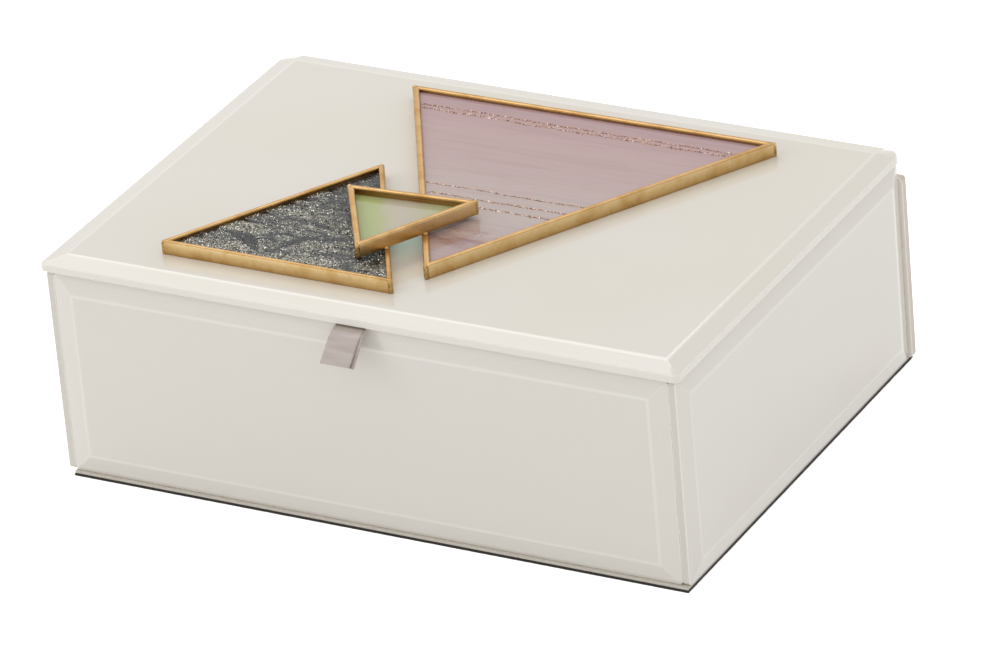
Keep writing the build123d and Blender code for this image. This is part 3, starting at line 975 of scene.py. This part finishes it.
def make_stone(corners):
    """The crushed glass in its resin, and loose chips thickest where it is pale."""
    infill_plate("stone", corners, 110, stone_relief, {"tone": stone_tone}, stone)
    sown = drawn_in(corners, CAME_FLANGE["stone"] + 0.25 * MM)
    top = infill_top("stone")
    spots = scatter_in(sown, CHIP_COUNT, 11, lambda spot: 0.03 + 2.5 * max(0.0, stone_tone(spot) - 0.33) ** 1.1)
    places = [(spot.x, spot.y, top + stone_relief(spot) + 0.06 * MM) for spot in spots]
    sprinkle("stone_glitter_chips", places, (0.42 * MM, 0.9 * MM), 0.3, stone_chips, 23)


def mauve_cloud(spot):
    """The darker cloud near the mauve glass's front point, and the streak behind it."""
    x, y = spot.x * 1000, spot.y * 1000
    near = 1 - math.hypot((x - 12.0) / 22, (y + 37.0) / 7.5)
    streak = 1 - abs(y + 27.5) / 2.2 if x < 22 else 0
    return max(0.0, min(1.0, max(1.3 * near, 0.9 * streak)))


def make_mauve(corners):
    """The mauve sheet, and the lines of copper glitter across it."""
    front, back = corners[2].y, corners[0].y
    fields = {"tone": lambda spot: (spot.y - front) / (back - front), "cloud": mauve_cloud}
    infill_plate("mauve", corners, 60, lambda spot: 0.0, fields, lilac)
    rng = random.Random(5)
    inner = drawn_in(corners, CAME_FLANGE["mauve"] + 0.3 * MM)
    top = infill_top("mauve")
    places = []
    for back_from_point, spread, share in COPPER_LINES:
        y = front + back_from_point * MM
        left = crossing(inner[1], inner[2], Vector((-1, y)), Vector((1, y))).x
        right = crossing(inner[2], inner[0], Vector((-1, y)), Vector((1, y))).x
        travel = left
        while travel < right:
            drift = noise.noise(Vector((travel * 70, back_from_point, 0))) * 1.1 * MM
            gap = noise.noise(Vector((travel * 160, back_from_point, 4)))
            if rng.random() < share and gap > -0.75 * share:
                places.append((travel, y + drift * 0.5 + rng.gauss(0, spread / 3) * MM, top + 0.02 * MM))
            travel += rng.uniform(0.12, 0.42) * MM
    places = [place for place in places if place[1] < inner[0].y]
    sprinkle("copper_glitter_lines", places, (0.4 * MM, 0.9 * MM), 0.45, copper_flakes, 31)


def make_green(corners):
    """The green sheet, whose colours change from its left corner onwards."""
    start, reach = corners[1], corners[0].x - corners[1].x
    fields = {"tone": lambda spot: GREEN_DRIFT.dot(Vector((spot.x - start.x, spot.y - start.y))) / reach}
    infill_plate("green", corners, 40, lambda spot: 0.0, fields, green)


# ---------------------------------------------------------------- felted base

def make_base():
    """The felt sole on its card: the felt's cut edge is a little ragged and stands just outside the card's."""
    low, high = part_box("base_felt")
    is_felt, is_card = range(2)
    # Up from the table: how high and how far in (mm), and what the band that leads there is made of
    levels = [
        (0.0, 0.25, is_felt), (0.12, 0.05, is_felt), (0.5, 0.0, is_felt), (0.95, 0.08, is_felt),
        (1.05, 0.22, is_felt), (1.08, 0.4, is_felt),
        (1.1, 0.34, is_card), (1.95, 0.34, is_card), (2.0, 0.44, is_card),
    ]
    rng = random.Random(3)
    corners = [(low.x, low.y), (high.x, low.y), (high.x, high.y), (low.x, high.y)]
    outline = []
    for a, b in zip(corners, corners[1:] + corners[:1]):
        count = round(math.dist(a, b) / (2 * MM))
        for step in range(count):
            share = step / count
            outline.append(Vector((a[0] + (b[0] - a[0]) * share, a[1] + (b[1] - a[1]) * share)))
    middle = (low + high) / 2
    points, faces = [], []
    for rise, inset, _ in levels:
        for spot in outline:
            fray = rng.uniform(0, 0.10) if rise < 1 else 0
            on_side = min(abs(spot.x - low.x), abs(spot.x - high.x)) < 1e-6
            on_end = min(abs(spot.y - low.y), abs(spot.y - high.y)) < 1e-6
            inward_x = math.copysign(1, middle.x - spot.x) if on_side else 0
            inward_y = math.copysign(1, middle.y - spot.y) if on_end else 0
            push = Vector((inward_x, inward_y)) * (inset + fray) * MM
            points.append((spot.x + push.x, spot.y + push.y, low.z + rise * MM))
    count = len(outline)
    for level in range(1, len(levels)):
        faces += band((level - 1) * count, level * count, count, finish=levels[level][2], smooth=False)
    faces.append((tuple(reversed(range(count))), is_felt, False))
    last = (len(levels) - 1) * count
    faces.append((tuple(last + spot for spot in range(count)), is_card, False))
    mesh = mesh_from("base_felt_on_card", points, faces)
    piece("base_felt_on_card", mesh, "box", [felt, card], ("base_felt",))


# ---------------------------------------------------------------- ribbon pull

def bezier(controls, count):
    """Points along a cubic curve, after its first."""
    found = []
    for step in range(1, count + 1):
        t = step / count
        weights = ((1 - t) ** 3, 3 * t * (1 - t) ** 2, 3 * t * t * (1 - t), t ** 3)
        found.append(sum((point * weight for point, weight in zip(controls, weights)), Vector((0, 0))))
    return found


def square_to(line, place):
    """Square to a line at one of its points, towards the half that hangs in front."""
    before, after = line[max(place - 1, 0)], line[min(place + 1, len(line) - 1)]
    way = (after - before).normalized()
    return Vector((way.y, -way.x))


def ribbon_middle(low, high, turn_y):
    """The line between the ribbon's two layers, seen from the side as (y, z): in under the glass, then drooping."""
    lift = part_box("lid_glass")[0].z - RIBBON_DROP
    foot = Vector((low.y + RIBBON_FOLD + 0.1 * MM, low.z + RIBBON_FOLD + 0.1 * MM))
    middle = [Vector((high.y, lift)), Vector((turn_y + 1.2 * MM, lift))]
    droop = [
        middle[1], Vector((turn_y - 1.3 * MM, lift - 0.1 * MM)), Vector((turn_y - 3.6 * MM, lift - 3.0 * MM)), foot,
    ]
    middle += bezier(droop, 24)
    spaced = [middle[0]]
    for a, b in zip(middle, middle[1:]):
        pieces = max(1, round((b - a).length / (0.5 * MM)))
        spaced += [a.lerp(b, (step + 1) / pieces) for step in range(pieces)]
    return spaced


def doubled(middle):
    """The ribbon's own line: down in front, round the fold and back up behind, parting towards the fold."""
    offset = (RIBBON_CLOTH + RIBBON_GAP) / 2
    fold_reach = RIBBON_FOLD - 0.1 * MM
    front, behind = [], []
    swell_start = 0.55 * len(middle)
    for place, spot in enumerate(middle):
        swell = max(0.0, (place - swell_start) / (len(middle) - swell_start)) ** 2
        apart = offset + (fold_reach - offset) * swell
        side = square_to(middle, place)
        front.append(spot + side * apart)
        behind.append(spot - side * apart)
    fold = []
    side = square_to(middle, len(middle) - 1)
    ahead = (middle[-1] - middle[-2]).normalized()
    for step in range(1, 9):
        angle = math.pi * step / 9
        fold.append(middle[-1] + (side * math.cos(angle) + ahead * math.sin(angle)) * fold_reach)
    return front + fold + list(reversed(behind))


def cloth_faces(rows, columns):
    """The faces of a strip of cloth: both sides, its selvedges and its two cut ends."""
    faces = []
    row = 2 * (columns + 1)
    for place in range(rows - 1):
        for column in range(columns):
            a = place * row + 2 * column
            b = a + row
            faces += [(a, a + 2, b + 2, b), (a + 1, b + 1, b + 3, a + 3)]
        left = place * row
        right = left + 2 * columns
        faces.append((left, left + row, left + row + 1, left + 1))
        faces.append((right + 1, right + row + 1, right + row, right))
    for column in range(columns):
        a = 2 * column
        faces.append((a + 1, a + 3, a + 2, a))
    for column in range(columns):
        a = (rows - 1) * row + 2 * column
        faces.append((a, a + 2, a + 3, a + 1))
    return [(face, 0, True) for face in faces]


def make_ribbon():
    """One length of ribbon folded double: glued in under the lid's glass, out through the slot, hanging free."""
    low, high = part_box("ribbon_pull")
    width = high.x - low.x
    turn_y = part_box("lid_glass")[0].y - 0.75 * MM
    middle = ribbon_middle(low, high, turn_y)
    line = doubled(middle)
    slip = 0.6 * MM              # how far each layer hangs to its own side, at most
    hung_width = width - 1.5 * slip
    points, runs = [], []
    run = 0.0
    for place, spot in enumerate(line):
        if place:
            run += (spot - line[place - 1]).length
        side = square_to(line, place)
        hang = max(0.0, min(1.0, (turn_y - spot.x) / (3.5 * MM)))
        is_behind = place > len(middle) + 4
        for column in range(RIBBON_COLUMNS + 1):
            share = column / RIBBON_COLUMNS - 0.5
            x = share * hung_width
            skew = (slip if is_behind else -slip) * hang
            cup = (0.14 * MM) * hang * (4 * share * share - 0.35)
            centre = Vector((x + skew, spot.x, spot.y)) + Vector((0, -cup * 0.5, cup * 0.4))
            selvedge = 0.5 if abs(share) < 0.47 else 0.58
            for face_side in (selvedge, -selvedge):
                points.append(centre + Vector((0, side.x, side.y)) * RIBBON_CLOTH * face_side)
                runs.append((run, x))
    mesh = mesh_from("ribbon_pull_cloth", points, cloth_faces(len(line), RIBBON_COLUMNS))
    lay_flat(mesh, runs)
    tidy(mesh, 0.0001 * MM)
    made = piece("ribbon_pull_cloth", mesh, "lid", [ribbon_satin], ("ribbon_pull",))


# ---------------------------------------------------------------- velvet inside

def ticks(low, high, rounding, step, lines=()):
    """Places along one side of a panel: close together at its rounded edges and at its sewn lines."""
    found = {low, low + 0.3 * rounding, low + rounding, high - rounding, high - 0.3 * rounding, high}
    count = max(1, round((high - low - 2 * rounding) / step))
    found |= {low + rounding + (high - low - 2 * rounding) * number / count for number in range(count + 1)}
    for line in lines:
        found |= {line + reach * MM for reach in (-1.6, -0.9, -0.4, 0.0, 0.4, 0.9, 1.6)}
    kept = []
    for place in sorted(found):
        if low <= place <= high and (not kept or place - kept[-1] > 0.05 * MM):
            kept.append(place)
    return kept


def velvet_panel(node, body, material, rounding, depth, lines=((), (), ())):
    """A velvet-covered panel in place of its CAD node; depth says how far the cloth is drawn in at a place."""
    low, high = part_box(node)
    sides = [ticks(low[axis], high[axis], rounding, 1.7 * MM, lines[axis]) for axis in range(3)]
    points, faces, numbers = [], [], {}

    def number_of(key):
        """The point at a place in the grid, made when it is first asked for."""
        if key not in numbers:
            spot = Vector([sides[axis][key[axis]] for axis in range(3)])
            core = Vector([
                min(max(spot[axis], low[axis] + rounding), high[axis] - rounding) for axis in range(3)
            ])
            out = (spot - core).normalized()
            numbers[key] = len(points)
            points.append(core + out * (rounding - depth(spot, out, low, high)))
        return numbers[key]

    for axis in range(3):
        first, second = [other for other in range(3) if other != axis]
        for end in (0, len(sides[axis]) - 1):
            for u in range(len(sides[first]) - 1):
                for v in range(len(sides[second]) - 1):
                    corner = []
                    for du, dv in ((0, 0), (1, 0), (1, 1), (0, 1)):
                        key = [0, 0, 0]
                        key[axis], key[first], key[second] = end, u + du, v + dv
                        corner.append(number_of(tuple(key)))
                    faces.append((tuple(corner), 0, True))
    mesh = tidy(mesh_from(node + "_velvet", points, faces))
    made = piece(node + "_velvet", mesh, body, [material], (node,))
    return made


def slack(spot, size, seed=0.0):
    """Gentle unevenness of stretched cloth, from 0 to 1."""
    return 0.5 + 0.5 * noise.noise(Vector((spot.x, spot.y, spot.z)) / (size * MM) + Vector((seed, seed, 0)))


def stitched(away, run, reach=0.6 * MM, spacing=3.2 * MM):
    """How deep a sewn line draws the cloth in: a groove, tighter at every stitch."""
    groove = math.exp(-((away / reach) ** 2))
    pucker = math.exp(-abs(away) / (2.2 * MM)) * (0.5 + 0.5 * math.cos(2 * math.pi * run / spacing))
    return 0.8 * groove + 0.35 * pucker


def liner_depth(spot, out, low, high):
    """A wall liner: stretched over card, with a hem sewn below its top edge."""
    run = spot.x + spot.y
    return (0.03 + 0.12 * slack(spot, 17) + 0.32 * stitched(high.z - HEM - spot.z, run)) * MM


def floor_depth(spot, out, low, high):
    """The floor pad: cloth stretched over foam, a little uneven."""
    return (0.04 + 0.24 * slack(spot, 21, 3.0)) * MM


def divider_depth(spot, out, low, high):
    """A divider: velvet wrapped tight over board, drawn in a little where it is glued at its foot."""
    return (0.04 + 0.20 * slack(spot, 11, 7.0) + 0.25 * math.exp(-(spot.z - low.z) / (3 * MM))) * MM


def lining_depth(spot, out, low, high):
    """The lid's lining: a padded field inside a sewn border."""
    if out.z > -0.5:
        return 0.12 * MM
    edge = min(spot.x - low.x, high.x - spot.x, spot.y - low.y, high.y - spot.y)
    beside = spot.x if min(spot.y - low.y, high.y - spot.y) == edge else spot.y
    inwards = edge - LINING_BORDER
    if inwards > 0:
        settled = 1.25 * math.exp(-inwards / (8 * MM))
    else:
        settled = 0.35 + 0.9 * (2 * abs(edge / LINING_BORDER - 0.5)) ** 2
    crease = 0.22 * slack(spot, 26, 5.0) * min(1.0, max(0.0, inwards / (20 * MM)))
    return (0.05 + settled + crease + 0.4 * stitched(inwards, beside, spacing=4.5 * MM)) * MM


def roll_section(radius, foot_z, crown):
    """A roll's section, points (across, up), going round it once: upright sides, a round top and a tucked foot."""
    foot = 1.0 * MM
    rise = crown - foot_z - foot
    section = [(radius, foot_z + foot + rise * step / 7) for step in range(7)]
    section += [
        (radius * math.cos(math.pi * step / 18), crown + radius * math.sin(math.pi * step / 18)) for step in range(19)
    ]
    section += [(-radius, crown - rise * step / 7) for step in range(1, 8)]
    section += [(-radius + 0.3 * foot, foot_z + 0.3 * foot), (-radius + foot, foot_z)]
    section += [(-radius + foot + (2 * radius - 2 * foot) * step / 5, foot_z) for step in range(1, 6)]
    section += [(radius - 0.3 * foot, foot_z + 0.3 * foot)]
    return section


def roll_stations(length):
    """Places along a roll: closer together towards its ends."""
    ends = [place * MM for place in (0.0, 0.12, 0.4, 0.9, 1.5, 2.2)]
    inside = round((length - 2 * ends[-1]) / (1.8 * MM))
    even = [ends[-1] + (length - 2 * ends[-1]) * step / inside for step in range(1, inside)]
    return ends + even + [length - place for place in reversed(ends)]


def gather_end(points, faces, first, count, hub, inward):
    """Closes a roll's end with cloth gathered in folds towards its middle; first is its rim's first point."""
    rim = points[first:first + count]
    start = first
    for share in (0.8, 0.58, 0.36, 0.16):
        base = len(points)
        for number, spot in enumerate(rim):
            fold = 0.28 * share * (0.5 + 0.5 * math.cos(number * 2 * math.pi * 11 / count))
            dip = (0.12 + 0.7 * (1 - share) + fold) * MM * inward
            place = hub.lerp(Vector(spot), share)
            points.append((place.x + dip, place.y, place.z))
        faces += band(start, base, count, outwards=False)
        start = base
    points.append((hub.x + 1.0 * MM * inward, hub.y, hub.z))
    for number in range(count):
        faces.append(((start + number, len(points) - 1, start + (number + 1) % count), 0, True))


def ring_roll(node, seed):
    """A ring roll: velvet drawn over a foam bolster, with its ends gathered and tucked."""
    low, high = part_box(node)
    radius = (high.y - low.y) / 2
    middle = (low + high) / 2
    crown = high.z - radius
    tuck = 2.2 * MM
    length = high.x - low.x
    section = roll_section(radius, low.z, crown)
    stations = roll_stations(length)
    count = len(section)
    points, faces = [], []
    for along in stations:
        near = min(along, length - along)
        shy = tuck - math.sqrt(max(0.0, tuck ** 2 - (tuck - near) ** 2)) if near < tuck else 0.0
        for number, (y, z) in enumerate(section):
            wrinkle = 0.05 + 0.22 * slack(Vector((along * 0.5, y, z)), 5.5, seed)
            wrinkle += 0.30 * math.exp(-near / (3.5 * MM)) * (0.5 + 0.5 * math.cos(number * 2 * math.pi * 14 / count))
            core = min(max(z, low.z + radius), crown)
            side = Vector((y, z - core))
            share = (shy + wrinkle * MM) / max(side.length, 1e-9)
            points.append((low.x + along, middle.y + side.x * (1 - share), core + side.y * (1 - share)))
    for station in range(len(stations) - 1):
        faces += band(station * count, (station + 1) * count, count)
    for first, inward in ((0, 1), ((len(stations) - 1) * count, -1)):
        gather_end(points, faces, first, count, Vector((points[first][0], middle.y, middle.z)), inward)
    mesh = tidy(mesh_from(node + "_velvet", points, faces))
    made = piece(node + "_velvet", mesh, "box", [roll_velvet], (node,))


def make_inside():
    """Liners, floor pad, dividers, lid lining and ring rolls."""
    for node in ("front_liner", "back_liner", "left_liner", "right_liner"):
        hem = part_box(node)[1].z - HEM
        velvet_panel(node, "box", grey_velvet, 0.6 * MM, liner_depth, ((), (), (hem,)))
    velvet_panel("floor_pad", "box", grey_velvet, 0.6 * MM, floor_depth)
    for node in ("ring_divider", "back_divider", "cross_divider"):
        velvet_panel(node, "box", grey_velvet, 1.3 * MM, divider_depth)
    low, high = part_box("lid_lining")
    seams = [(low[axis] + LINING_BORDER, high[axis] - LINING_BORDER) for axis in range(2)]
    velvet_panel("lid_lining", "lid", grey_velvet, 1.2 * MM, lining_depth, (seams[0], seams[1], ()))
    for number in range(1, RING_ROLLS + 1):
        ring_roll(f"ring_roll_{number}", number * 2.7)


# ---------------------------------------------------------------- stage, light and camera

def make_stage():
    """A pale floor that stays white to the eye and still takes the box's shadow."""
    bpy.ops.mesh.primitive_plane_add(size=6)
    floor = bpy.context.object
    floor.name = "pale_floor"
    made, nodes, shader = start_material("pale_paper_floor", Roughness=0.9)
    fine = grain(nodes, place_mm(nodes), 120, detail=2.0)
    feed(nodes, shader, "Base Color", tones(nodes, fine, [(0.3, "#EDEDED"), (0.7, "#F2F2F2")]))
    seen = seen_straight(nodes, add(nodes, "ShaderNodeLightPath"))
    strength = maths(nodes, "MULTIPLY", seen, FLOOR_GLOW)
    glow = add(nodes, "ShaderNodeEmission", {"Color": (1, 1, 1, 1), "Strength": strength})
    show(nodes, add(nodes, "ShaderNodeAddShader", {0: shader.outputs[0], 1: glow.outputs[0]}).outputs[0])
    floor.data.materials.append(made)


def soft_box(name, place, aim, size, power):
    """A large soft lamp that the camera doesn't see."""
    lamp = bpy.data.lights.new(name, "AREA")
    lamp.shape = "RECTANGLE"
    lamp.size, lamp.size_y = size
    lamp.energy = power
    lamp.color = (1.0, 0.985, 0.965)
    made = bpy.data.objects.new(name, lamp)
    bpy.context.scene.collection.objects.link(made)
    made.location = place
    made.rotation_mode = "QUATERNION"
    made.rotation_quaternion = (Vector(aim) - Vector(place)).to_track_quat("-Z", "Y")
    made.visible_camera = False


def finish_hidden_parts():
    """CAD pieces whose shape is right keep it and take their finish."""
    boards = ("base_board", "front_wall", "left_wall", "right_wall", "back_wall", "lid_board")
    leaves = ("left_hinge_box_leaf", "right_hinge_box_leaf", "left_hinge_lid_leaf", "right_hinge_lid_leaf")
    pins = ("left_hinge_pin", "right_hinge_pin", "box_hinge_screws", "lid_hinge_screws")
    for finish, nodes in ((lacquer, boards), (plate_brass, leaves), (pin_brass, pins)):
        for node in nodes:
            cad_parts[node].data.materials.clear()
            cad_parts[node].data.materials.append(finish)


def make_light(scene):
    """A plain white room, dimmer than it looks, with three soft boxes."""
    world = bpy.data.worlds.new("studio")
    scene.world = world
    world.use_nodes = True
    sky = world.node_tree.nodes
    sky.clear()
    rays = add(sky, "ShaderNodeLightPath")
    seen = clamped_sum(sky, seen_straight(sky, rays), rays.outputs["Is Transmission Ray"])
    strength = between(sky, seen, ROOM_LIGHT, 1.0)
    backdrop = add(sky, "ShaderNodeBackground", {"Color": (1, 1, 1, 1), "Strength": strength})
    add(sky, "ShaderNodeOutputWorld", {"Surface": backdrop.outputs[0]})
    aim = (0, 0, 0.05)
    soft_box("back_soft_box", (-0.95, 1.05, 1.55), aim, (1.3, 1.0), BACK_BOX)
    soft_box("left_soft_box", (-1.3, -1.2, 1.0), aim, (1.2, 1.2), LEFT_BOX)
    soft_box("right_soft_box", (1.7, -0.3, 0.8), aim, (1.2, 1.2), RIGHT_BOX)


def make_camera(scene):
    """A long lens, looking down on the box from the right of its front."""
    data = bpy.data.cameras.new("camera")
    camera = bpy.data.objects.new("camera", data)
    scene.collection.objects.link(camera)
    camera.location = (1.1917, -2.0290, 1.2647)
    camera.rotation_euler = [math.radians(angle) for angle in (62.3274, 4.5414, 27.9238)]
    data.sensor_width = 36
    data.lens = 265.34
    data.clip_end = 50
    scene.camera = camera


make_glass()
frames = make_frames()
make_crossings(frames)
make_stone(frames["stone"])
make_mauve(frames["mauve"])
make_green(frames["green"])
make_ribbon()
make_base()
make_inside()
finish_hidden_parts()
make_stage()

scene = bpy.context.scene
scene.view_settings.view_transform = "Standard"
make_light(scene)
make_camera(scene)
